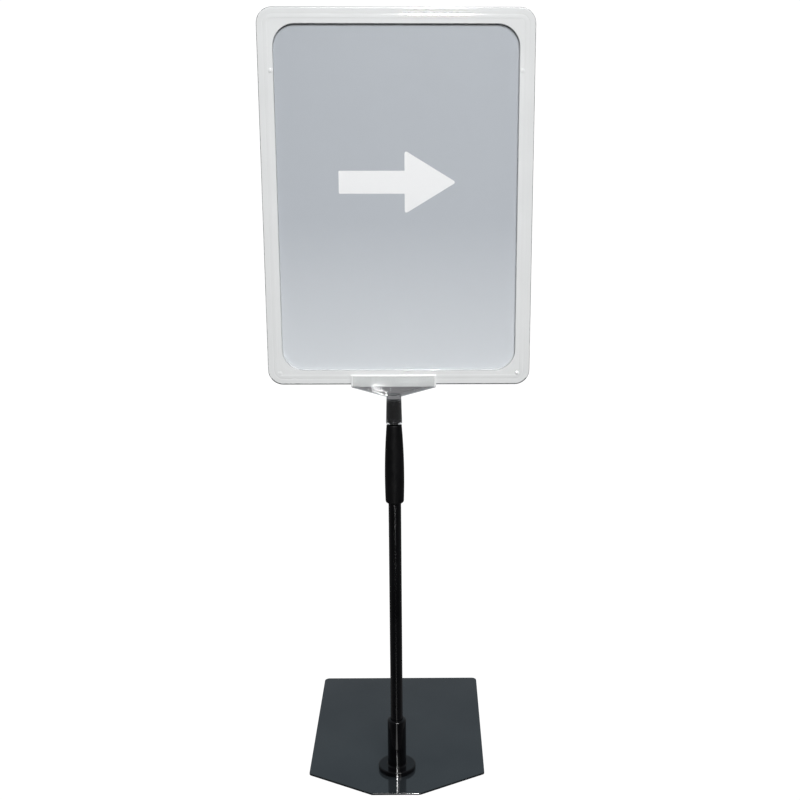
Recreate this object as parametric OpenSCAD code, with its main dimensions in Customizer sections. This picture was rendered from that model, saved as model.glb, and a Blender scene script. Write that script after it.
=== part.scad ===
// Counter-top sign stand: steel base plate, telescopic pole with a twist-lock
// grip, clear T-shaped holder, and a clear poster frame for an A4 sheet.
// Millimetres, +Z up. The origin is on the pole's axis, at the level of the
// surface the stand rests on. The frame faces -Y; the plate reaches back to +Y.

/* [Base plate] */
// Width of the plate
plate_w = 166; // [140:1:200]
// From the pole's axis to the plate's back edge
plate_back = 180; // [120:1:200]
// From the pole's axis forward to the two shoulders, where the sides turn in
plate_shoulder = 10; // [4:1:20]
// From the pole's axis to the plate's front edge
plate_front = 44; // [36:1:60]
// Width of the front edge between the two slanting edges
front_edge_w = 45; // [40:1:80]
// Thickness of the steel sheet
plate_t = 2; // [2:0.5:4]
// Thickness of the anti-slip pads under the plate
pad_t = 1; // [0.8:0.1:2]
// Diameter of the anti-slip pads
pad_d = 14; // [10:1:16]

/* [Foot] */
// Diameter of the foot's flange
flange_d = 35.2; // [30:0.2:44]
// Height of the flange
flange_h = 4.4; // [3:0.2:7]
// Diameter of the foot's sleeve round the tube
sleeve_d = 17.5; // [15:0.5:22]
// Height of the sleeve's top above the plate
sleeve_h = 52; // [35:1:70]

/* [Pole] */
// Outer diameter of the lower tube
tube_d = 11.4; // [11.4:0.1:13]
// Inner diameter of the lower tube
tube_bore = 10; // [10:0.1:10.2]
// Level of the lower tube's top end
tube_top = 308; // [260:1:360]
// Outer diameter of the sliding tube
inner_d = 9; // [8.6:0.1:9]
// Wall thickness of the sliding tube
inner_wall = 0.7; // [0.5:0.1:1]
// How far the sliding tube can be drawn out
travel = 250; // [150:10:250]

/* [Grip] */
// Largest diameter of the barrel-shaped grip
grip_d = 17.4; // [17:0.1:22]
// Length of the grip
grip_len = 73; // [70:1:76]
// How far the grip turns between locked and loose, in degrees
twist = 90; // [45:5:120]

/* [Holder] */
// Length of the channel that the frame stands in
channel_len = 74; // [60:1:100]
// Height of the channel's walls above its floor
channel_h = 9; // [7:0.5:12]
// Thickness of the channel's walls
channel_wall = 1.6; // [1.2:0.1:2.4]

/* [Poster frame] */
// Width of the printed sheet
sheet_w = 210; // [148:1:210]
// Height of the printed sheet
sheet_h = 297; // [210:1:297]
// Width of the frame's border
border = 13.2; // [11:0.2:16]
// How much of each edge of the sheet the border covers
lip = 4.2; // [3:0.2:5]
// Thickness of the whole frame
frame_t = 6; // [5:0.5:8]
// Radius of the frame's outer corners
corner_r = 13; // [10:1:20]
// Radius of the window's corners
window_r = 18; // [10:1:24]
// How far to the right of the pole the frame's middle sits in the holder
frame_shift = 4.7; // [0:0.1:8]

/* [Hidden] */
$fn = 96;
// Overlap that keeps cutting faces off the faces they cut
eps = 0.1;
// Radial clearance of the parts that turn or slide in one another
run = 0.07;

// Levels up the pole
plate_top = pad_t + plate_t;
flange_top = plate_top + flange_h;
sleeve_top = plate_top + sleeve_h;
tube_foot = plate_top + 5;
insert_top = tube_foot + 12;
bush_top = insert_top + 8;
bead_z = bush_top + travel + 3;
collet_foot = tube_top - 24;
shoulder_top = tube_top + 3;
finger_top = tube_top + 26;
grip_foot = tube_top - 37.5;
grip_top = grip_foot + grip_len;
holder_foot = grip_top + 1.5;
plug_top = holder_foot + 21;
socket_top = holder_foot + 24.5;
channel_under = socket_top + 9;
channel_floor = channel_under + 1.8;

// Screw that holds the plate, the foot and the tube together
screw_d = 4;
screw_head_d = screw_d + 2 * plate_t;
screw_len = 14;

// Frame
frame_w = sheet_w + 2 * (border - lip);
frame_h = sheet_h + 2 * (border - lip);
window_w = frame_w - 2 * border;
window_h = frame_h - 2 * border;
pocket_t = 1.8;
pocket_w = sheet_w + 1;
pocket_foot = channel_floor + border - lip;
film_t = 0.4;
poster_t = 0.3;
sleeve_gap = 0.4;
pin_d = 3;
pin_len = 1.6;
pin_rise = 30;

// Collet and grip details
collet_r = 7;
finger_r = 5.6;
key_z = collet_foot + 1;
key_h = 3;
key_half = 8;
snap_z = collet_foot + 12;
snap_h = 1.2;
groove_r = 7.75;

// Direction of the line from b to a, one unit long
function toward(b, a) = (a - b) / norm(a - b);

// Points of an arc of radius r that rounds corner b between a and c
function corner(a, b, c, r, steps = 8) =
    let (u = toward(b, a), v = toward(b, c))
    let (half = acos(u * v) / 2)
    let (middle = b + (u + v) / norm(u + v) * r / sin(half))
    let (from = b + u * r / tan(half) - middle)
    let (start = atan2(from.y, from.x))
    let (turn = sign(u.x * v.y - u.y * v.x) * (2 * half - 180))
    [for (i = [0:steps]) middle + r * [cos(start + turn * i / steps), sin(start + turn * i / steps)]];

// Outline with corner i of points rounded to radii[i]
function rounded(points, radii) =
    let (n = len(points))
    [for (i = [0:n - 1]) each corner(points[(i + n - 1) % n], points[i], points[(i + 1) % n], radii[i])];

// Radius of the grip at level z: a shallow barrel, widest a third of the way up
function barrel(z) = grip_d / 2 - 0.00085 * pow(z - grip_foot - 24.5, 2);

module ring(r_out, r_in, z0, z1)
{
    translate([0, 0, z0])
        difference() {
            cylinder(r = r_out, h = z1 - z0);
            translate([0, 0, -eps]) cylinder(r = r_in, h = z1 - z0 + 2 * eps);
        }
}

module disc(r, z0, z1)
{
    translate([0, 0, z0]) cylinder(r = r, h = z1 - z0);
}

// Rectangle with round corners, centred on the origin
module round_rect(w, h, r)
{
    square([w - 2 * r, h], center = true);
    square([w, h - 2 * r], center = true);
    for (x = [-1, 1], y = [-1, 1])
        translate([x * (w / 2 - r), y * (h / 2 - r)]) circle(r);
}

// Stands a flat drawing up in the frame's place, from y0 back to y1
module upright(y0, y1)
{
    translate([frame_shift, y1, channel_floor + frame_h / 2])
        rotate([90, 0, 0]) linear_extrude(y1 - y0) children();
}

module pad(x, y, d = pad_d)
{
    color("#1b1b1b") translate([x, y, 0]) cylinder(d = d, h = pad_t);
}

module base_plate()
{
    half = plate_w / 2;
    tip = front_edge_w / 2;
    outline = rounded([[-half, plate_back], [-half, -plate_shoulder], [-tip, -plate_front],
                       [tip, -plate_front], [half, -plate_shoulder], [half, plate_back]],
                      [5, 3, 2, 2, 3, 5]);
    color("#3c4146")
        translate([0, 0, pad_t])
        difference() {
            linear_extrude(plate_t) polygon(outline);
            translate([0, 0, -eps]) cylinder(d = screw_d, h = plate_t + 2 * eps);
            cylinder(d1 = screw_head_d, d2 = screw_d, h = plate_t);
        }
}

module pad_centre() { pad(0, 0, 18); }
module pad_back_left() { pad(-plate_w / 2 + 14, plate_back - 14); }
module pad_back_right() { pad(plate_w / 2 - 14, plate_back - 14); }
module pad_front_left() { pad(-front_edge_w / 2 - 1.5, -plate_front + 12); }
module pad_front_right() { pad(front_edge_w / 2 + 1.5, -plate_front + 12); }

module foot_socket()
{
    bore_r = tube_d / 2;
    sleeve_r = sleeve_d / 2;
    flange_r = flange_d / 2;
    outline = concat(
        [[screw_d / 2 + 0.2, plate_top], [flange_r, plate_top]],
        corner([flange_r, plate_top], [flange_r, flange_top], [0, flange_top], 1.2),
        corner([flange_r, flange_top], [sleeve_r, flange_top], [sleeve_r, sleeve_top], 1.2),
        corner([sleeve_r, flange_top], [sleeve_r, sleeve_top], [0, sleeve_top], 2.4),
        [[bore_r, sleeve_top], [bore_r, tube_foot], [screw_d / 2 + 0.2, tube_foot]]);
    color("#101012") rotate_extrude() polygon(outline);
}

module foot_screw()
{
    color("#9a9ca0")
        difference() {
            union() {
                translate([0, 0, pad_t]) cylinder(d1 = screw_head_d, d2 = screw_d, h = plate_t);
                disc(screw_d / 2, plate_top - eps, plate_top + screw_len);
            }
            translate([0, 0, pad_t - eps]) cylinder(d = 2.9, h = 1.2 + eps, $fn = 6);
        }
}

module tube_insert()
{
    color("#b59a4a") ring(tube_bore / 2, screw_d / 2, tube_foot, insert_top);
}

// Lower tube, with a rolled bead near its top that stops the guide bush
module outer_tube()
{
    out = tube_d / 2;
    in = tube_bore / 2;
    dent = 0.3;
    color("#141416")
        rotate_extrude()
        polygon([[in, tube_foot], [out, tube_foot], [out, bead_z - 1.6], [out - dent, bead_z - 0.6],
                 [out - dent, bead_z + 0.6], [out, bead_z + 1.6], [out, tube_top], [in, tube_top],
                 [in, bead_z + 1.6], [in - dent, bead_z + 0.6], [in - dent, bead_z - 0.6],
                 [in, bead_z - 1.6]]);
}

// Clamp body: a skirt pressed over the lower tube and four fingers round the sliding one
module collet()
{
    slot_w = 1.2;
    color("#e6e2d6")
        difference() {
            union() {
                ring(collet_r, tube_d / 2, collet_foot, tube_top);
                ring(collet_r, inner_d / 2 + run, tube_top, shoulder_top);
                ring(finger_r, inner_d / 2 + run, shoulder_top - eps, finger_top);
                translate([0, 0, key_z])
                    rotate([0, 0, -key_half]) rotate_extrude(angle = 2 * key_half)
                    translate([collet_r - 0.3, 0]) square([0.8, key_h]);
            }
            ring(collet_r + 1, collet_r - 0.5, snap_z, snap_z + snap_h);
            for (a = [0, 90])
                rotate([0, 0, a])
                    translate([-collet_r, -slot_w / 2, shoulder_top + 3])
                    cube([2 * collet_r, slot_w, finger_top - shoulder_top]);
        }
}

// Snap ring that keeps the grip on the collet
module grip_ring()
{
    gap = 30;
    color("#8d8f93")
        translate([0, 0, snap_z + 0.1])
        rotate([0, 0, 90 + gap / 2]) rotate_extrude(angle = 360 - gap)
        translate([collet_r - 0.45, 0]) square([1, snap_h - 0.2]);
}

module grip()
{
    steps = 28;
    z0 = grip_foot + 2.6;
    outline = concat(
        corner([0, grip_foot], [barrel(z0), grip_foot], [barrel(z0), grip_top], 2.2),
        [for (i = [0:steps]) let (z = z0 + (grip_top - 0.8 - z0) * i / steps) [barrel(z), z]],
        [[barrel(grip_top) - 0.7, grip_top], [0, grip_top], [0, grip_foot]]);
    color("#0d0d0f")
        difference() {
            rotate_extrude() polygon(outline);
            disc(tube_d / 2 + run, grip_foot - eps, grip_top + eps);
            disc(collet_r + run, grip_foot + 6, shoulder_top + 0.3);
            ring(groove_r, collet_r - 1, snap_z - 0.1, snap_z + snap_h + 0.1);
            translate([0, 0, key_z - 0.3])
                rotate([0, 0, -key_half - 1 - twist]) rotate_extrude(angle = 2 * key_half + 2 + twist)
                translate([collet_r - 1, 0]) square([groove_r - collet_r + 1, key_h + 0.6]);
        }
}

module inner_tube()
{
    color("#141416")
        difference() {
            ring(inner_d / 2, inner_d / 2 - inner_wall, bush_top, plug_top - 1.6);
            translate([0, inner_d, bush_top + 9]) rotate([90, 0, 0]) cylinder(d = 2, h = 2 * inner_d);
        }
}

// Slide bush plugged into the sliding tube's lower end
module guide_bush()
{
    seat_r = 4;
    color("#e6e2d6")
        difference() {
            union() {
                disc(tube_bore / 2 - run, insert_top, bush_top);
                disc(inner_d / 2 - inner_wall, bush_top - eps, bush_top + 15);
            }
            ring(tube_bore / 2 + 1, seat_r, insert_top + 3, insert_top + 5);
            translate([0, inner_d, bush_top + 9]) rotate([90, 0, 0]) cylinder(d = 2, h = 2 * inner_d);
        }
}

module guide_pin()
{
    color("#9a9ca0")
        translate([0, inner_d / 2 - 0.1, bush_top + 9])
        rotate([90, 0, 0]) cylinder(d = 2, h = inner_d - 0.2);
}

// Rubber ring on the bush that gives the slide its drag
module friction_ring()
{
    color("#202020")
        translate([0, 0, insert_top + 4]) rotate_extrude() translate([4.47, 0]) circle(0.46, $fn = 32);
}

module top_plug()
{
    color("#1b1b1d")
        union() {
            disc(inner_d / 2 - inner_wall, plug_top - 11.6, plug_top - 1.5);
            disc(inner_d / 2, plug_top - 1.6, plug_top);
        }
}

// Clear holder: channel for the frame, web with ribbed edges, socket for the tube
module t_holder()
{
    half_len = channel_len / 2;
    in_y = frame_t / 2 + 0.15;
    out_y = in_y + channel_wall;
    neck = 6.3;
    rib = 1.6;
    color("#c9d3d6", 0.45)
        difference() {
            union() {
                translate([0, 0, holder_foot])
                    cylinder(d1 = 14.3, d2 = 12.9, h = socket_top - holder_foot);
                disc(6.45, socket_top - eps, socket_top + 1.5);
                for (s = [-1, 1])
                    translate([-half_len, s > 0 ? in_y : -out_y, channel_under])
                        cube([channel_len, channel_wall, channel_floor + channel_h - channel_under]);
                translate([-half_len, -out_y, channel_under])
                    cube([channel_len, 2 * out_y, channel_floor - channel_under]);
                translate([0, 1.5, 0]) rotate([90, 0, 0]) linear_extrude(3)
                    polygon([[-half_len, channel_floor - 0.5], [-half_len, channel_under], [-neck, socket_top],
                             [neck, socket_top], [half_len, channel_under], [half_len, channel_floor - 0.5]]);
                for (s = [-1, 1])
                    translate([0, 3.5, 0]) rotate([90, 0, 0]) linear_extrude(7)
                        polygon([[s * (neck - 2), socket_top - 0.5], [s * half_len, channel_under - 0.6],
                                 [s * half_len, channel_under + 0.5], [s * (half_len - 5), channel_under + 0.5],
                                 [s * (neck - 2), socket_top + rib]]);
            }
            disc(inner_d / 2 + run, holder_foot - eps, plug_top);
        }
}

// Centres of the pins that join the two halves of the frame
function pin_places() =
    let (x = (frame_w + pocket_w) / 4, foot = (border - lip - frame_h) / 2)
    concat([for (s = [-1, 1], z = [-1, 0, 1]) [s * x, z * (frame_h / 2 - pin_rise)]],
           [for (s = [-1, 1]) [s * frame_w / 4, foot]]);

module frame_front()
{
    front = -frame_t / 2;
    back = pocket_t / 2;
    color("#dfe4e3", 0.5)
        difference() {
            union() {
                upright(front + 0.8, back) round_rect(frame_w, frame_h, corner_r);
                upright(front, front + 1) round_rect(frame_w - 2, frame_h - 2, corner_r - 1);
            }
            upright(front - eps, back + eps) round_rect(window_w, window_h, window_r);
            upright(-pocket_t / 2, back + eps)
                translate([-pocket_w / 2, border - lip - frame_h / 2]) square([pocket_w, frame_h]);
            upright(front - eps, front + 0.4)
                difference() {
                    round_rect(frame_w - 9, frame_h - 9, corner_r - 4);
                    round_rect(frame_w - 12, frame_h - 12, corner_r - 5);
                }
            upright(back - pin_len - 0.2, back + eps)
                for (p = pin_places()) translate(p) circle(d = pin_d + 0.1);
        }
}

module frame_back()
{
    front = pocket_t / 2;
    back = frame_t / 2;
    color("#dfe4e3", 0.5)
        union() {
            difference() {
                union() {
                    upright(front, back - 0.8) round_rect(frame_w, frame_h, corner_r);
                    upright(back - 1, back) round_rect(frame_w - 2, frame_h - 2, corner_r - 1);
                }
                upright(front - eps, back + eps) round_rect(window_w, window_h, window_r);
            }
            upright(front - pin_len, front + 0.1)
                for (p = pin_places()) translate(p) circle(d = pin_d);
        }
}

// Clear sleeve: one film folded at the foot, open at the top
module clear_sleeve()
{
    half_t = sleeve_gap / 2 + film_t;
    color("#eef3f6", 0.3)
        difference() {
            translate([frame_shift - sheet_w / 2, -half_t, pocket_foot])
                cube([sheet_w, 2 * half_t, sheet_h]);
            translate([frame_shift - sheet_w / 2 - eps, -sleeve_gap / 2, pocket_foot + film_t])
                cube([sheet_w + 2 * eps, sleeve_gap, sheet_h]);
        }
}

module poster()
{
    color("#b4b8c1")
        translate([frame_shift - sheet_w / 2, -poster_t / 2, pocket_foot + film_t])
        cube([sheet_w, poster_t, sheet_h - film_t]);
}

base_plate();
pad_centre();
pad_back_left();
pad_back_right();
pad_front_left();
pad_front_right();
foot_socket();
foot_screw();
tube_insert();
outer_tube();
collet();
grip();
grip_ring();
inner_tube();
guide_bush();
guide_pin();
friction_ring();
top_plug();
t_holder();
frame_front();
frame_back();
clear_sleeve();
poster();
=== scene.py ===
import math

import bmesh
import bpy
from mathutils import Matrix, Vector


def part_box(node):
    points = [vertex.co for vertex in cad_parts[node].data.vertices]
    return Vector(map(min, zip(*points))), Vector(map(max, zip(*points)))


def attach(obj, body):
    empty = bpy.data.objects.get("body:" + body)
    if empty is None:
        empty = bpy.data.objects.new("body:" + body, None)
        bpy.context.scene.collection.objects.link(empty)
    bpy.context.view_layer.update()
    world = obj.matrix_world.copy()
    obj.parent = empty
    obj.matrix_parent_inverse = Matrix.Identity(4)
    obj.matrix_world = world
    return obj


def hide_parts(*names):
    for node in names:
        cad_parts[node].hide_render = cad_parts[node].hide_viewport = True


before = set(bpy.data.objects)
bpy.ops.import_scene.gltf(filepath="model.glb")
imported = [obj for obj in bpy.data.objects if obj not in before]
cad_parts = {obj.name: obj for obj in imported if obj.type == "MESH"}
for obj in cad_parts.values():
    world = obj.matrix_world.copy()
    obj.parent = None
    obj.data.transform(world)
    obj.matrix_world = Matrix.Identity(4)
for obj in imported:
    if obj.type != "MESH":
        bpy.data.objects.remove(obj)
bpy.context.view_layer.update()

MM = 0.001
ROUND_STEPS = 96


# ---------------------------------------------------------------- camera and stage

CAMERA_PLACE = Vector((0.0272, -1.02, 0.6284))
CAMERA_PAN = math.radians(-0.754)
CAMERA_PITCH = math.radians(14.45)
CAMERA_ROLL = math.radians(-0.055)
CAMERA_LENS_MM = 53.79
CAMERA_SENSOR_MM = 36.0
CAMERA_SHIFT = -0.05
BACKDROP_WHITE = 1.05
# Colour of the room by the sine of the direction's height; level and below, the first holds.
ROOM_COLOURS = [(0.0, (0.2, 0.2, 0.205)), (0.4, (0.4, 0.44, 0.46)), (0.46, (0.33, 0.37, 0.4)),
                (0.56, (0.33, 0.41, 0.46)), (0.8, (0.3, 0.3, 0.31))]
# Towards the front the room dims to this share, between two values of the direction's y.
ROOM_FRONT_SHARE = 0.25
ROOM_FRONT_Y, ROOM_BACK_Y = -0.75, 0.25


def set_stops(ramp, stops):
    """Gives a colour ramp node its (position, colour) stops."""
    elements = ramp.color_ramp.elements
    while len(elements) < len(stops):
        elements.new(0.5)
    for element, (position, colour) in zip(elements, stops):
        element.position = position
        element.color = (*colour, 1.0)


def set_range(node, low, high, to_low, to_high):
    """Sets what a map range node maps from and to."""
    for key, value in (("From Min", low), ("From Max", high),
                       ("To Min", to_low), ("To Max", to_high)):
        node.inputs[key].default_value = value


def make_camera():
    data = bpy.data.cameras.new("camera")
    data.lens = CAMERA_LENS_MM
    data.sensor_width = CAMERA_SENSOR_MM
    data.shift_x = CAMERA_SHIFT
    camera = bpy.data.objects.new("camera", data)
    bpy.context.scene.collection.objects.link(camera)
    turn = (Matrix.Rotation(CAMERA_PAN, 4, "Z")
            @ Matrix.Rotation(-CAMERA_PITCH, 4, "X")
            @ Matrix.Rotation(CAMERA_ROLL, 4, "Y")
            @ Matrix.Rotation(math.radians(90), 4, "X"))
    camera.matrix_world = Matrix.Translation(CAMERA_PLACE) @ turn
    bpy.context.scene.camera = camera


def make_area_light(name, place, target, size, radiance):
    """Rectangular light at place that faces target; radiance is how bright its face is."""
    data = bpy.data.lights.new(name, "AREA")
    data.shape = "RECTANGLE"
    data.size = size[0]
    data.size_y = size[1]
    data.energy = radiance * math.pi * size[0] * size[1]
    light = bpy.data.objects.new(name, data)
    bpy.context.scene.collection.objects.link(light)
    light.location = place
    light.rotation_euler = (Vector(target) - Vector(place)).to_track_quat("-Z", "Y").to_euler()
    light.visible_camera = False
    return light


def make_world():
    """White backdrop to the camera; what the object mirrors and refracts is a dim grey room."""
    world = bpy.data.worlds.new("studio")
    bpy.context.scene.world = world
    world.use_nodes = True
    tree = world.node_tree
    tree.nodes.clear()
    output = tree.nodes.new("ShaderNodeOutputWorld")
    room = tree.nodes.new("ShaderNodeBackground")
    backdrop = tree.nodes.new("ShaderNodeBackground")
    backdrop.inputs["Color"].default_value = (*[BACKDROP_WHITE] * 3, 1.0)
    mix = tree.nodes.new("ShaderNodeMixShader")
    path = tree.nodes.new("ShaderNodeLightPath")
    coords = tree.nodes.new("ShaderNodeTexCoord")
    split = tree.nodes.new("ShaderNodeSeparateXYZ")
    ramp = tree.nodes.new("ShaderNodeValToRGB")
    front = tree.nodes.new("ShaderNodeMapRange")
    front.interpolation_type = "SMOOTHSTEP"
    set_range(front, ROOM_FRONT_Y, ROOM_BACK_Y, ROOM_FRONT_SHARE, 1.0)
    set_stops(ramp, ROOM_COLOURS)
    tree.links.new(coords.outputs["Generated"], split.inputs[0])
    tree.links.new(split.outputs["Z"], ramp.inputs[0])
    tree.links.new(split.outputs["Y"], front.inputs["Value"])
    tree.links.new(ramp.outputs[0], room.inputs["Color"])
    tree.links.new(front.outputs["Result"], room.inputs["Strength"])
    tree.links.new(path.outputs["Is Camera Ray"], mix.inputs[0])
    tree.links.new(room.outputs[0], mix.inputs[1])
    tree.links.new(backdrop.outputs[0], mix.inputs[2])
    tree.links.new(mix.outputs[0], output.inputs[0])


def light_studio():
    """Soft key and back light, a small card at the foot, and three that only reflections show."""
    flash = make_area_light("flash", (0.0533, -2.0, 1.27), (0.0, 0.0, 0.2), (0.16, 0.07), 1500)
    make_area_light("low_card", (0.0, -0.19, 0.002), (0.0, -0.19, 1.0), (0.02, 0.28), 2.6)
    card = make_area_light("web_card", (-0.051, -1.02, 0.118), (-0.0136, 0.0, 0.374),
                           (0.028, 0.008), 30)
    card.rotation_euler.rotate_axis("Z", math.radians(-22))
    low_flash = make_area_light("low_flash", (0.008, -0.3, 0.171), (0.0, 0.0, 0.01),
                                (0.03, 0.026), 64)
    for light in (flash, card, low_flash):
        light.visible_diffuse = False
        light.visible_transmission = False
    make_area_light("key", (0.6, -3.4, 3.0), (0, 0, 0.5), (2.2, 1.4), 22.8)
    softbox = make_area_light("back_softbox", (0.0, 2.0, 3.1), (0.0, 0.2, 0.3), (5.2, 3.6), 3.0)
    softbox.visible_glossy = False


# ---------------------------------------------------------------- mesh helpers

def arc_corner(before, corner, after, radius, steps=6):
    """Points that round corner, between its two neighbours."""
    b = Vector(corner)
    u = (Vector(before) - b).normalized()
    v = (Vector(after) - b).normalized()
    half = math.acos(max(-1.0, min(1.0, u.dot(v)))) / 2
    middle = b + (u + v).normalized() * radius / math.sin(half)
    start = b + u * radius / math.tan(half) - middle
    turn = abs(2 * half - math.pi)
    if u.x * v.y - u.y * v.x > 0:
        turn = -turn
    points = []
    for i in range(steps + 1):
        a = turn * i / steps
        points.append((middle.x + start.x * math.cos(a) - start.y * math.sin(a),
                       middle.y + start.x * math.sin(a) + start.y * math.cos(a)))
    return points


def rounded(points, radii, steps=6):
    """Outline with each corner rounded to its radius; a radius of 0 keeps it sharp."""
    out = []
    count = len(points)
    for i, (point, radius) in enumerate(zip(points, radii)):
        if radius == 0:
            out.append(tuple(point))
        else:
            out += arc_corner(points[i - 1], point, points[(i + 1) % count], radius, steps)
    return out


def new_object(name, verts, faces, scale=MM):
    mesh = bpy.data.meshes.new(name)
    mesh.from_pydata([tuple(c * scale for c in v) for v in verts], [], faces)
    mesh.validate()
    mesh.update()
    obj = bpy.data.objects.new(name, mesh)
    bpy.context.scene.collection.objects.link(obj)
    work = bmesh.new()
    work.from_mesh(mesh)
    bmesh.ops.recalc_face_normals(work, faces=work.faces)
    work.to_mesh(mesh)
    work.free()
    return obj


def lathe(name, outline, steps=ROUND_STEPS, centre=(0.0, 0.0)):
    """Closed outline of (radius, z) points turned round a vertical axis. Millimetres."""
    verts = []
    rows = []
    for radius, z in outline:
        if radius < 1e-6:
            verts.append((centre[0], centre[1], z))
            rows.append([len(verts) - 1] * steps)
            continue
        first = len(verts)
        for i in range(steps):
            a = 2 * math.pi * i / steps
            verts.append((centre[0] + radius * math.cos(a), centre[1] + radius * math.sin(a), z))
        rows.append(list(range(first, first + steps)))
    faces = []
    for j, row in enumerate(rows):
        other = rows[(j + 1) % len(rows)]
        for i in range(steps):
            k = (i + 1) % steps
            corners = []
            for v in (row[i], row[k], other[k], other[i]):
                if v not in corners:
                    corners.append(v)
            if len(corners) > 2:
                faces.append(corners)
    return new_object(name, verts, faces)


def prism(name, outline, low, high, axis="Z"):
    """Outline swept from low to high: drawn in XY for axis Z, XZ for axis Y, YZ for axis X."""
    place = {"Z": lambda a, b, c: (a, b, c),
             "Y": lambda a, b, c: (a, c, b),
             "X": lambda a, b, c: (c, a, b)}[axis]
    count = len(outline)
    verts = [place(a, b, low) for a, b in outline] + [place(a, b, high) for a, b in outline]
    faces = [list(range(count)), list(range(count, 2 * count))]
    for i in range(count):
        k = (i + 1) % count
        faces.append([i, k, count + k, count + i])
    return new_object(name, verts, faces)


def rect_loop(half_w, half_h, radius, steps=10):
    """Points round a rectangle with round corners, always the same number."""
    points = []
    for cx, cz, start in ((1, 1, 0), (-1, 1, 90), (-1, -1, 180), (1, -1, 270)):
        for i in range(steps + 1):
            a = math.radians(start + 90 * i / steps)
            points.append((cx * (half_w - radius) + radius * math.cos(a),
                           cz * (half_h - radius) + radius * math.sin(a)))
    return points


def ring_solid(name, loops, centre):
    """Closed band through loops of (half width, half height, radius, y) round centre (x, z)."""
    verts = []
    rows = []
    for half_w, half_h, radius, y in loops:
        first = len(verts)
        for x, z in rect_loop(half_w, half_h, radius):
            verts.append((centre[0] + x, y, centre[1] + z))
        rows.append(range(first, len(verts)))
    faces = []
    for j, row in enumerate(rows):
        other = rows[(j + 1) % len(rows)]
        for i in range(len(row)):
            k = (i + 1) % len(row)
            faces.append([row[i], row[k], other[k], other[i]])
    return new_object(name, verts, faces)


def apply_modifiers(obj):
    graph = bpy.context.evaluated_depsgraph_get()
    mesh = bpy.data.meshes.new_from_object(obj.evaluated_get(graph))
    old = obj.data
    obj.modifiers.clear()
    obj.data = mesh
    bpy.data.meshes.remove(old)


def boolean(obj, tool, operation):
    modifier = obj.modifiers.new("boolean", "BOOLEAN")
    modifier.operation = operation
    modifier.solver = "EXACT"
    modifier.object = tool
    apply_modifiers(obj)
    bpy.data.objects.remove(tool)


def soften(obj, width, segments=2, angle=40):
    """Rounds the sharp edges of obj by width millimetres."""
    modifier = obj.modifiers.new("bevel", "BEVEL")
    modifier.width = width * MM
    modifier.segments = segments
    modifier.limit_method = "ANGLE"
    modifier.angle_limit = math.radians(angle)
    modifier.use_clamp_overlap = True
    modifier.harden_normals = False
    apply_modifiers(obj)


def finish_piece(obj, material, body, nodes=(), smooth=38):
    """Smooth shading that keeps large faces flat; material, body and the CAD nodes."""
    obj.data.shade_smooth()
    obj.data.set_sharp_from_angle(angle=math.radians(smooth))
    modifier = obj.modifiers.new("normals", "WEIGHTED_NORMAL")
    modifier.keep_sharp = True
    modifier.weight = 100
    apply_modifiers(obj)
    obj.data.materials.clear()
    obj.data.materials.append(material)
    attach(obj, body)
    if nodes:
        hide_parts(*nodes)
    return obj


def mm_box(node):
    """Lowest and highest corners of a CAD node, in millimetres."""
    low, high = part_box(node)
    return low / MM, high / MM


# ---------------------------------------------------------------- materials

class Material:
    """A principled material with helpers that add procedural detail."""

    def __init__(self, name, colour, roughness, **inputs):
        self.data = bpy.data.materials.new(name)
        self.data.use_nodes = True
        self.tree = self.data.node_tree
        self.shader = self.tree.nodes["Principled BSDF"]
        self.shader.inputs["Base Color"].default_value = (*colour, 1.0)
        self.shader.inputs["Roughness"].default_value = roughness
        for key, value in inputs.items():
            self.shader.inputs[key.replace("_", " ")].default_value = value
        self.coords = self.node("ShaderNodeTexCoord").outputs["Object"]
        self.normal = None

    def node(self, kind, **settings):
        made = self.tree.nodes.new(kind)
        for key, value in settings.items():
            setattr(made, key, value)
        return made

    def link(self, source, target):
        self.tree.links.new(source, target)

    def stretched(self, scale):
        mapping = self.node("ShaderNodeMapping")
        mapping.inputs["Scale"].default_value = scale
        self.link(self.coords, mapping.inputs["Vector"])
        return mapping.outputs["Vector"]

    def noise(self, scale, detail=3.0, stretch=(1, 1, 1), roughness=0.5):
        noise = self.node("ShaderNodeTexNoise")
        noise.inputs["Scale"].default_value = scale
        noise.inputs["Detail"].default_value = detail
        noise.inputs["Roughness"].default_value = roughness
        self.link(self.stretched(stretch), noise.inputs["Vector"])
        return noise.outputs["Fac"]

    def ramp(self, factor, stops):
        ramp = self.node("ShaderNodeValToRGB")
        set_stops(ramp, stops)
        self.link(factor, ramp.inputs[0])
        return ramp.outputs[0]

    def map_range(self, factor, low, high, to_low, to_high):
        node = self.node("ShaderNodeMapRange")
        set_range(node, low, high, to_low, to_high)
        self.link(factor, node.inputs["Value"])
        return node.outputs["Result"]

    def vary_colour(self, factor, dark, light, low=0.35, high=0.65):
        self.link(self.ramp(factor, [(low, dark), (high, light)]), self.shader.inputs["Base Color"])

    def vary_roughness(self, factor, smooth, rough, low=0.35, high=0.65):
        self.link(self.map_range(factor, low, high, smooth, rough), self.shader.inputs["Roughness"])

    def bump(self, height, distance_mm, strength=1.0):
        node = self.node("ShaderNodeBump")
        node.inputs["Strength"].default_value = strength
        node.inputs["Distance"].default_value = distance_mm * MM
        self.link(height, node.inputs["Height"])
        if self.normal:
            self.link(self.normal, node.inputs["Normal"])
        self.normal = node.outputs["Normal"]
        self.link(self.normal, self.shader.inputs["Normal"])


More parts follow.
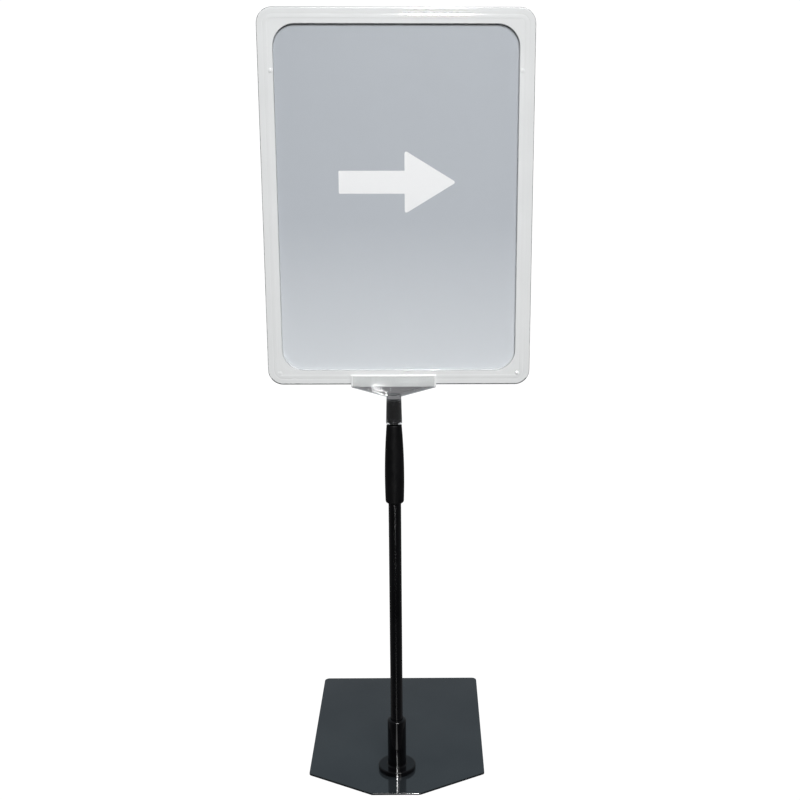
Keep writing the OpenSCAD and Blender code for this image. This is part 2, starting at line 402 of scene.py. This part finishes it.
def plate_paint():
    made = Material("plate_paint", (0.02, 0.022, 0.025), 0.25, Specular_IOR_Level=0.5)
    made.vary_colour(made.noise(14, 4), (0.0095, 0.0115, 0.0135), (0.013, 0.0155, 0.0175))
    made.vary_roughness(made.noise(60, 4, stretch=(0.15, 1, 1)), 0.04, 0.09)
    made.bump(made.noise(900, 2), 0.001)
    made.bump(made.noise(260, 3, stretch=(0.05, 1, 1)), 0.002)
    return made


def tube_paint():
    made = Material("tube_paint", (0.008, 0.008, 0.009), 0.22, Specular_IOR_Level=0.2)
    made.vary_colour(made.noise(40, 3), (0.0015, 0.0015, 0.0018), (0.003, 0.003, 0.0035))
    made.vary_roughness(made.noise(120, 3, stretch=(1, 1, 0.2)), 0.16, 0.28)
    made.bump(made.noise(1400, 2), 0.003)
    return made


def foot_plastic():
    made = Material("foot_plastic", (0.008, 0.008, 0.009), 0.2, Specular_IOR_Level=0.25)
    made.vary_colour(made.noise(60, 3), (0.0015, 0.0015, 0.0018), (0.003, 0.003, 0.0035))
    made.vary_roughness(made.noise(200, 4), 0.03, 0.07)
    made.bump(made.noise(600, 3), 0.0005)
    return made


def grip_plastic():
    made = Material("grip_plastic", (0.01, 0.01, 0.011), 0.45, Specular_IOR_Level=0.1)
    made.vary_colour(made.noise(80, 3), (0.0018, 0.0018, 0.002), (0.0038, 0.0038, 0.0042))
    made.vary_roughness(made.noise(150, 4), 0.36, 0.52)
    made.bump(made.noise(2600, 2), 0.02)
    return made


def frame_plastic(name, colour, clarity):
    made = Material(name, colour, 0.12, Transmission_Weight=clarity, IOR=1.5)
    dark = tuple(0.96 * c for c in colour)
    made.vary_colour(made.noise(20, 2), dark, colour)
    made.vary_roughness(made.noise(90, 4), 0.03, 0.08)
    made.bump(made.noise(70, 2), 0.01)
    return made


def clear_plastic(name, clarity, colour):
    """Clear moulded plastic; clarity 1 is glass clear, less is milkier."""
    made = Material(name, colour, 0.04, Transmission_Weight=clarity, IOR=1.49)
    dark = tuple(0.97 * c for c in colour)
    made.vary_colour(made.noise(60, 2), dark, colour)
    made.vary_roughness(made.noise(200, 4), 0.02, 0.05)
    made.bump(made.noise(150, 2), 0.004)
    return made


def sleeve_film():
    """Film too thin to bend light: nearly all of it goes straight through."""
    made = Material("sleeve_film", (0.3, 0.32, 0.34), 0.06, Alpha=0.08)
    made.vary_colour(made.noise(10, 2), (0.29, 0.31, 0.33), (0.31, 0.33, 0.35))
    made.vary_roughness(made.noise(300, 4), 0.05, 0.055)
    return made


def print_paper(low_z, high_z):
    """Blue-grey print that pales towards the foot, between two levels in metres."""
    made = Material("print_paper", (0.45, 0.48, 0.53), 0.5)
    split = made.node("ShaderNodeSeparateXYZ")
    made.link(made.coords, split.inputs[0])
    height = made.map_range(split.outputs["Z"], low_z, high_z, 0.0, 1.0)
    colour = made.ramp(height, [(0.0, (0.78, 0.81, 0.84)), (0.45, (0.49, 0.52, 0.562)),
                                (1.0, (0.4, 0.43, 0.47))])
    grain = made.ramp(made.noise(500, 3), [(0.3, (0.985, 0.985, 0.985)), (0.7, (1.0, 1.0, 1.0))])
    mix = made.node("ShaderNodeMix", data_type="RGBA", blend_type="MULTIPLY")
    mix.inputs["Factor"].default_value = 1.0
    made.link(colour, mix.inputs[6])
    made.link(grain, mix.inputs[7])
    made.link(mix.outputs[2], made.shader.inputs["Base Color"])
    made.vary_roughness(made.noise(200, 3), 0.48, 0.52)
    made.bump(made.noise(1800, 2), 0.004)
    return made


def mark_ink():
    made = Material("mark_ink", (0.95, 0.95, 0.95), 0.45)
    made.vary_colour(made.noise(400, 3), (0.97, 0.97, 0.97), (0.99, 0.99, 0.99))
    made.bump(made.noise(1800, 2), 0.004)
    return made


def rubber():
    made = Material("rubber", (0.02, 0.02, 0.02), 0.75)
    made.vary_colour(made.noise(300, 3), (0.014, 0.014, 0.014), (0.028, 0.028, 0.028))
    made.vary_roughness(made.noise(200, 3), 0.65, 0.85)
    made.bump(made.noise(1500, 3), 0.03)
    return made


def steel():
    made = Material("steel", (0.6, 0.6, 0.62), 0.3, Metallic=1.0)
    made.vary_colour(made.noise(200, 3), (0.52, 0.52, 0.53), (0.66, 0.66, 0.67))
    made.vary_roughness(made.noise(500, 3, stretch=(1, 1, 8)), 0.22, 0.4)
    made.bump(made.noise(1200, 2, stretch=(1, 1, 6)), 0.004)
    return made


def brass():
    made = Material("brass", (0.7, 0.55, 0.26), 0.3, Metallic=1.0)
    made.vary_colour(made.noise(200, 3), (0.62, 0.47, 0.2), (0.74, 0.59, 0.3))
    made.vary_roughness(made.noise(500, 3, stretch=(1, 1, 8)), 0.2, 0.38)
    made.bump(made.noise(1200, 2, stretch=(1, 1, 6)), 0.004)
    return made


def nylon():
    made = Material("nylon", (0.8, 0.78, 0.7), 0.4, Subsurface_Weight=0.2)
    made.vary_colour(made.noise(100, 3), (0.74, 0.72, 0.64), (0.84, 0.82, 0.75))
    made.vary_roughness(made.noise(300, 3), 0.34, 0.5)
    made.bump(made.noise(900, 2), 0.01)
    return made


# ---------------------------------------------------------------- base

def build_plate(material):
    low, high = mm_box("base_plate")
    shoulder_y = -10.0
    tip_x = 22.5
    rounds = [5, 3, 2]  # back corner, shoulder, tip
    outline = rounded([(low.x, high.y), (low.x, shoulder_y), (-tip_x, low.y), (tip_x, low.y),
                       (high.x, shoulder_y), (high.x, high.y)], rounds + rounds[::-1])
    plate = prism("plate", outline, low.z, high.z)
    shank = 2.0
    head = 4.0
    past = 0.5
    sink = lathe("sink", [(0, low.z - past), (head + past, low.z - past), (head, low.z),
                          (shank, high.z), (shank, high.z + past), (0, high.z + past)])
    boolean(plate, sink, "DIFFERENCE")
    soften(plate, 0.4, 3, angle=60)
    return finish_piece(plate, material, "base", ["base_plate"], smooth=30)


def build_pads(material):
    for node in ("pad_centre", "pad_back_left", "pad_back_right",
                 "pad_front_left", "pad_front_right"):
        low, high = mm_box(node)
        middle = (low + high) / 2
        radius = (high.x - low.x) / 2
        outline = [(0, low.z)] + rounded([(radius, low.z), (radius, high.z), (0, high.z)],
                                         [0.3, 0.15, 0])
        pad = lathe(node + "_rubber", outline, 64, (middle.x, middle.y))
        finish_piece(pad, material, "base", [node])


def build_foot(material):
    low, high = mm_box("foot_socket")
    flange = high.x
    sleeve = 8.75
    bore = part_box("outer_tube")[1].x / MM
    screw_hole = 2.2
    step = low.z + 4.4
    seat = low.z + 5
    outline = rounded([(screw_hole, low.z), (flange, low.z), (flange, step), (sleeve, step),
                       (sleeve, high.z), (bore, high.z), (bore, seat), (screw_hole, seat)],
                      [0, 0.3, 1.2, 1.2, 2.4, 0.2, 0, 0], steps=8)
    foot = lathe("foot", outline, 128)
    return finish_piece(foot, material, "base", ["foot_socket"])


# ---------------------------------------------------------------- pole

def build_tubes(material):
    low, high = mm_box("outer_tube")
    out = high.x
    bore = 5.0
    bead = mm_box("collet")[0].z - 3
    flat, ramp = 0.6, 1.6
    dent = 0.3
    outline = [(bore, low.z), (out, low.z), (out, bead - ramp), (out - dent, bead - flat),
               (out - dent, bead + flat), (out, bead + ramp), (out, high.z), (bore, high.z),
               (bore, bead + ramp), (bore - dent, bead + flat), (bore - dent, bead - flat),
               (bore, bead - ramp)]
    tube = lathe("lower_tube", outline, 128)
    finish_piece(tube, material, "base", ["outer_tube"])
    low, high = mm_box("inner_tube")
    wall = 0.7
    outline = rounded([(high.x - wall, low.z), (high.x, low.z), (high.x, high.z),
                       (high.x - wall, high.z)], [0.15] * 4, steps=3)
    slide = lathe("sliding_tube", outline, 96)
    finish_piece(slide, material, "mast", ["inner_tube"])


def build_grip(material):
    low, high = mm_box("grip")
    wide = high.x
    shoulder = mm_box("outer_tube")[1].z + 3.3
    recess = low.z + 6
    belly = 24.5
    taper = 0.00085
    run = 0.07

    def barrel(z):
        """Radius at height z: widest at the belly, falling off with the square of the distance."""
        return wide - taper * (z - low.z - belly) ** 2

    start = low.z + 2.6
    steps = 48
    rise = high.z - 1.0 - start
    side = [(barrel(z), z) for z in (start + rise * i / steps for i in range(steps + 1))]
    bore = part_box("outer_tube")[1].x / MM + run
    wide_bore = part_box("collet")[1].x / MM + run
    top = arc_corner(side[-1], (barrel(high.z), high.z), (bore, high.z), 0.8)
    inside = [(bore, high.z), (bore, shoulder), (wide_bore, shoulder), (wide_bore, recess),
              (bore, recess), (bore, low.z)]
    foot = arc_corner((bore, low.z), (barrel(start), low.z), (barrel(start), start), 2.2, 10)
    grip = lathe("twist_grip", foot + side[1:] + top + inside, 128)
    return finish_piece(grip, material, "twist_grip", ["grip"], smooth=30)


def build_cap(material):
    low, high = mm_box("top_plug")
    plug = 3.8
    rim = 4.5
    rim_foot = high.z - 1.6
    cap = lathe("tube_cap", [(0, low.z)] + rounded([(plug, low.z), (plug, rim_foot),
                                                    (rim, rim_foot), (rim, high.z), (0, high.z)],
                                                   [0.5, 0, 0.1, 0.4, 0]), 96)
    return finish_piece(cap, material, "mast", ["top_plug"])


# ---------------------------------------------------------------- holder and frame

def cut_faces(obj, point, normal):
    """Splits the faces of obj along a plane, in millimetres, without removing anything."""
    work = bmesh.new()
    work.from_mesh(obj.data)
    bmesh.ops.bisect_plane(work, geom=work.verts[:] + work.edges[:] + work.faces[:],
                           plane_co=[c * MM for c in point], plane_no=normal)
    work.to_mesh(obj.data)
    work.free()


def add_material(obj, material, chooser):
    """Gives material to the faces that chooser accepts by centre, in millimetres, and normal."""
    obj.data.materials.append(material)
    index = len(obj.data.materials) - 1
    for face in obj.data.polygons:
        if chooser(face.center / MM, face.normal):
            face.material_index = index


def build_holder(material, channel_material, painted_edge_highlight_and_shade):
    low, high = mm_box("t_holder")
    half_len = high.x
    floor = mm_box("frame_front")[0].z
    under = floor - 1.8
    neck_z = low.z + 24.5
    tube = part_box("inner_tube")[1].x / MM
    in_y = 3.15
    out_y = 4.75
    web_end = half_len - 0.6
    web_neck = 6.3
    web_half = 1.5
    rib_end = half_len - 0.3
    rib_neck = 4.3
    rib_half = 3.5
    mouth = 5.2
    bore_top = low.z + 21
    channel = rounded([(-out_y, under), (out_y, under), (out_y, high.z), (in_y, high.z),
                       (in_y, floor), (-in_y, floor), (-in_y, high.z), (-out_y, high.z)],
                      [0.9, 0.9, 0.75, 0.75, 0.25, 0.25, 0.75, 0.75], steps=5)
    body = prism("holder", channel, -half_len, half_len, "X")
    web = prism("web", [(-web_end, under + 0.9), (-web_end, under - 0.1), (-web_neck, neck_z),
                        (web_neck, neck_z), (web_end, under - 0.1), (web_end, under + 0.9)],
                -web_half, web_half, "Y")
    boolean(body, web, "UNION")
    for side in (-1, 1):
        rib = prism("rib", [(side * rib_neck, neck_z - 0.5), (side * rib_end, under - 0.6),
                            (side * rib_end, under + 0.7), (side * (half_len - 5), under + 0.7),
                            (side * rib_neck, neck_z + 1.6)], -rib_half, rib_half, "Y")
        boolean(body, rib, "UNION")
    socket = lathe("socket", rounded([(0, low.z), (7.15, low.z), (6.45, neck_z + 1.5),
                                      (0, neck_z + 1.5)], [0, 0.01, 0.6, 0]), 96)
    boolean(body, socket, "UNION")
    bore = lathe("bore", [(0, low.z - 1), (mouth, low.z - 1), (tube - 0.01, low.z + 0.8),
                          (tube - 0.01, bore_top), (0, bore_top)], 96)
    boolean(body, bore, "DIFFERENCE")
    soften(body, 0.35, 2, angle=50)
    rim = high.z - 1.3
    end = half_len - 1.4
    cut_faces(body, (0, 0, rim), (0, 0, 1))
    cut_faces(body, (end, 0, 0), (1, 0, 0))
    cut_faces(body, (-end, 0, 0), (1, 0, 0))
    finish_piece(body, material, "holder", ["t_holder"], smooth=35)
    add_material(body, channel_material, lambda c, n: c.z > under + 0.3)
    # Painted highlight: the channel's top rim and both ends take near-opaque white where the lamps
    # would glint on the edges.
    add_material(body, painted_edge_highlight_and_shade,
                 lambda c, n: c.z > rim or (abs(c.x) > end and c.z > under + 0.3))
    return body


def frame_centre():
    """Centre (x, z), half width and half height of the poster frame."""
    low, high = mm_box("frame_front")
    return ((low.x + high.x) / 2, (low.z + high.z) / 2), (high.x - low.x) / 2, (high.z - low.z) / 2


def build_frame(material, painted_edge_highlight_and_shade, painted_window_edge_shade):
    centre, half_w, half_h = frame_centre()
    border = 13.2
    corner = 13.0
    window_corner = 18.0
    pocket_y = 0.9
    seam = pocket_y
    face = -3.0
    inner_face = -2.84
    back_face = 3.0
    pocket_w, pocket_h = 105.5, 148.5

    def outer(offset, y):
        return (half_w - offset, half_h - offset, max(corner - offset, 0.5), y)

    def window(offset, y):
        return (half_w - border + offset, half_h - border + offset, window_corner + offset, y)

    def edge(loop, y_edge, y_face, radius, steps=5):
        """Loops that round an edge: from the side at y_edge to the face at y_face."""
        out = []
        sign = 1 if y_face > y_edge else -1
        for i in range(steps + 1):
            a = math.radians(90 * i / steps)
            out.append(loop(radius * (1 - math.cos(a)), y_face - sign * radius * (1 - math.sin(a))))
        return out

    front = (
        [outer(0.15, seam), outer(0.0, seam - 0.15)]
        + edge(outer, seam, face, 1.1)
        + [outer(4.7, face), outer(5.1, -2.85), outer(5.6, -2.85), outer(6.0, face),
           outer(8.0, face), outer(8.4, -2.97), outer(9.0, -2.87), outer(9.4, inner_face),
           window(1.1, inner_face)]
        + edge(window, -pocket_y, inner_face, 0.6)[::-1]
        + [window(0.0, -pocket_y), (pocket_w, pocket_h, 0.3, -pocket_y),
           (pocket_w, pocket_h, 0.3, seam)])
    shell = ring_solid("frame_front_shell", front, centre)
    left, right = centre[0] - pocket_w, centre[0] + pocket_w
    slot_foot, slot_top = centre[1] + 140, centre[1] + 160
    slot = prism("slot", [(left, slot_foot), (right, slot_foot), (right, slot_top),
                          (left, slot_top)], -pocket_y, 1.5, "Y")
    boolean(shell, slot, "DIFFERENCE")
    finish_piece(shell, material, "sign_frame", ["frame_front"], smooth=32)

    def outer_offset(point):
        x = abs(point.x - centre[0]) - (half_w - corner)
        z = abs(point.z - centre[1]) - (half_h - corner)
        return corner - (math.hypot(x, z) if x > 0 and z > 0 else max(x, z))

    def window_offset(point):
        x = abs(point.x - centre[0]) - (half_w - border - window_corner)
        z = abs(point.z - centre[1]) - (half_h - border - window_corner)
        return (math.hypot(x, z) if x > 0 and z > 0 else max(x, z)) - window_corner

    # Painted shade: a dark tint on the front rounding of the outer edge, wider along the foot.
    foot = centre[1] - half_h + 6
    add_material(shell, painted_edge_highlight_and_shade,
                 lambda c, n: n.y < -0.1 and outer_offset(c) < (1.1 if c.z < foot else 0.6))
    # Painted shade: a grey tint on the front faces along the window edge.
    add_material(shell, painted_window_edge_shade,
                 lambda c, n: n.y < -0.1 and -0.05 < window_offset(c) < 0.6)

    pip_x = half_w - 10.5
    pip_low, pip_high = half_h - 10.0, half_h - 50.0
    pip_radius = 2.0
    ball = 5.5
    steps = 8
    arc = [math.asin(pip_radius / ball) * (steps - i) / steps for i in range(steps + 1)]
    dome = [(ball * math.sin(a), ball * math.cos(a) - ball + 0.376) for a in arc]
    for x, z in ((-pip_x, -pip_low), (pip_x, -pip_low), (-pip_x, pip_high), (pip_x, pip_high)):
        pip = lathe("snap_pip", [(0, -0.3), (pip_radius, -0.3)] + dome, 48)
        for vertex in pip.data.vertices:
            vertex.co = (vertex.co.x + (centre[0] + x) * MM, -vertex.co.z - 2.85 * MM,
                         vertex.co.y + (centre[1] + z) * MM)
        finish_piece(pip, material, "sign_frame", smooth=60)

    back = (
        [window(0.0, seam)]
        + edge(window, seam, 2.4, 0.5)
        + [window(1.1, 2.4), outer(9.2, 2.4), outer(8.9, 2.5), outer(8.5, 2.9),
           outer(8.2, back_face)]
        + edge(outer, seam, back_face, 1.1)[::-1]
        + [outer(0.0, seam + 0.15), outer(0.15, seam)])
    shell = ring_solid("frame_back_shell", back, centre)
    finish_piece(shell, material, "sign_frame", ["frame_back"], smooth=32)


def build_sleeve(material):
    low, high = mm_box("clear_sleeve")
    film = 0.4
    gap = 0.2
    outline = rounded([(low.y, high.z), (low.y, low.z), (high.y, low.z), (high.y, high.z),
                       (gap, high.z), (gap, low.z + film), (-gap, low.z + film), (-gap, high.z)],
                      [0.1, 0.55, 0.55, 0.1, 0.1, 0.18, 0.18, 0.1], steps=5)
    sleeve = prism("film_sleeve", outline, low.x, high.x, "X")
    return finish_piece(sleeve, material, "sleeve", ["clear_sleeve"])


def arrow_outline(centre, width, height):
    """Right-pointing arrow that fills width by height round centre."""
    head = 0.44 * width
    shaft = 0.36 * height
    left = centre[0] - width / 2
    right = centre[0] + width / 2
    z = centre[1]
    return rounded([(left, z - shaft / 2), (right - head, z - shaft / 2),
                    (right - head, z - height / 2), (right, z), (right - head, z + height / 2),
                    (right - head, z + shaft / 2), (left, z + shaft / 2)],
                   [1.0, 0, 1.5, 1.5, 1.5, 0, 1.0])


def build_print(paper, ink):
    low, high = mm_box("poster")
    outline = rounded([(low.x, low.z), (high.x, low.z), (high.x, high.z), (low.x, high.z)],
                      [0.3] * 4, steps=2)
    sheet = prism("print_sheet", outline, low.y, high.y, "Y")
    finish_piece(sheet, paper, "print", ["poster"])
    x, z = frame_centre()[0]
    arrow_rise, arrow_w, arrow_h = 17, 99, 53
    ink_half = 0.02
    arrow = prism("arrow_mark", arrow_outline((x, z + arrow_rise), arrow_w, arrow_h),
                  low.y - ink_half, low.y + ink_half, "Y")
    finish_piece(arrow, ink, "print")


# ---------------------------------------------------------------- hidden parts keep their CAD shape

def paint_nodes(materials):
    """Gives each named CAD node its material."""
    for node, material in materials.items():
        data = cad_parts[node].data
        if not data.materials:
            data.materials.append(material)
        for i in range(len(data.materials)):
            data.materials[i] = material


bpy.context.scene.view_settings.view_transform = "Standard"
make_camera()
make_world()
light_studio()

black_foot = foot_plastic().data
black_tube = tube_paint().data
build_plate(plate_paint().data)
build_pads(rubber().data)
build_foot(black_foot)
build_tubes(black_tube)
build_grip(grip_plastic().data)
build_cap(black_foot)
build_holder(clear_plastic("holder_plastic", 0.985, (0.95, 0.955, 0.96)).data,
             clear_plastic("channel_plastic", 0.58, (0.97, 0.985, 0.98)).data,
             # near-opaque white for the channel rim and ends: a painted highlight
             clear_plastic("edge_painted_highlight", 0.25, (0.98, 0.985, 0.985)).data)
build_frame(frame_plastic("frame_plastic", (0.86, 0.87, 0.87), 0.15).data,
            # dark tint for the outer edge rounding: painted shade
            frame_plastic("frame_edge_painted_shade", (0.17, 0.18, 0.18), 0.15).data,
            # grey tint for the window edge: painted shade
            frame_plastic("window_edge_painted_shade", (0.5, 0.51, 0.52), 0.15).data)
build_sleeve(sleeve_film().data)
sheet_low, sheet_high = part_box("poster")
build_print(print_paper(sheet_low.z, sheet_high.z).data, mark_ink().data)
zinc = steel().data
white_nylon = nylon().data
paint_nodes({"foot_screw": zinc, "guide_pin": zinc, "grip_ring": zinc, "tube_insert": brass().data,
             "collet": white_nylon, "guide_bush": white_nylon, "friction_ring": rubber().data})
